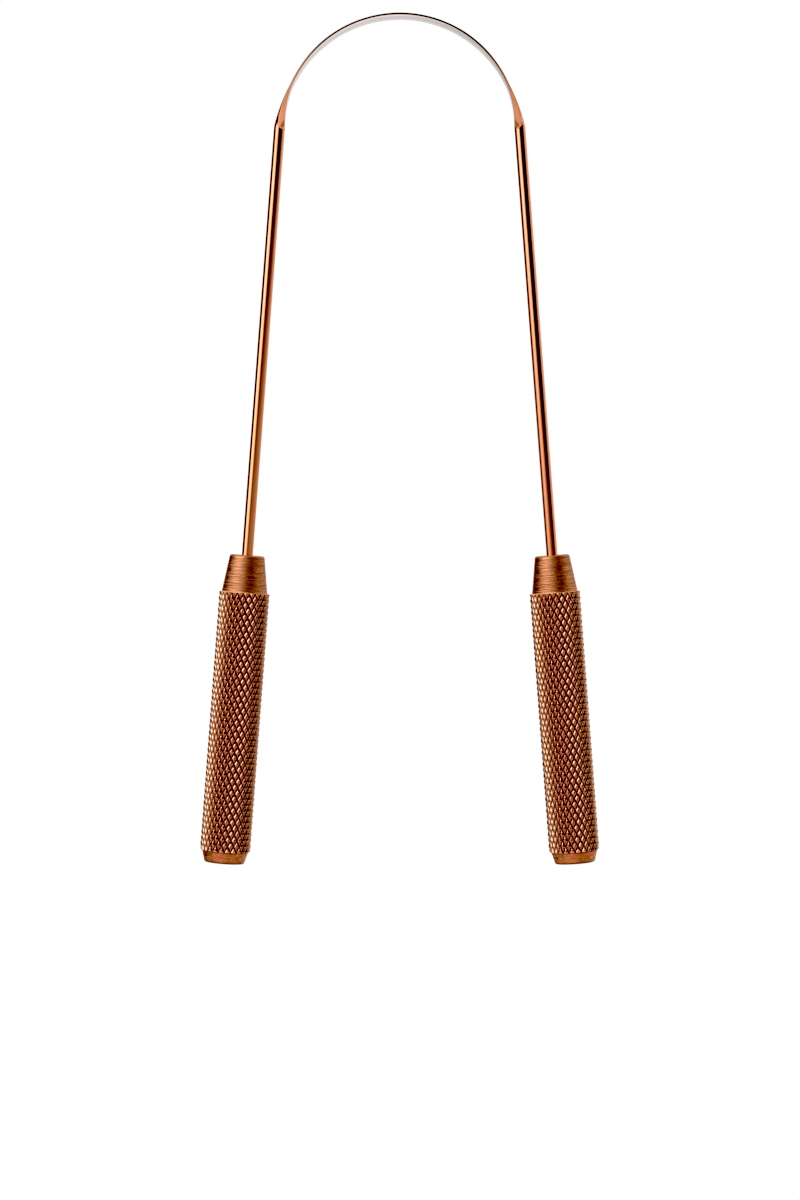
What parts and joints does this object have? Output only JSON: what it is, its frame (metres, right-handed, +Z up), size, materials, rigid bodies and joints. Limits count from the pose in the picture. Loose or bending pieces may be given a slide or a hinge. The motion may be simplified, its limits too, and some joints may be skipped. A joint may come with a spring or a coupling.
{
  "type": "tongue scraper",
  "caption": "U-shaped copper tongue scraper: bent wire frame pressed flat into a scraping bow, with knurled handles, coned at the leg and chamfered at the free end.",
  "frame": {"origin": "on the surface that the two handles lie on, under the middle of the outline", "axes": "+Y from the handles to the bow, +Z up through the scraper's thickness as it lies flat, +X towards the right handle"},
  "size_m": [0.0656, 0.1396, 0.0083],
  "materials": {
    "polished_copper": "polished",
    "turned_copper": "turned and knurled, satin"
  },
  "bodies": {
    "root": {"wire_frame": "polished_copper", "left_handle": "turned_copper", "right_handle": "turned_copper"}
  },
  "joints": []
}
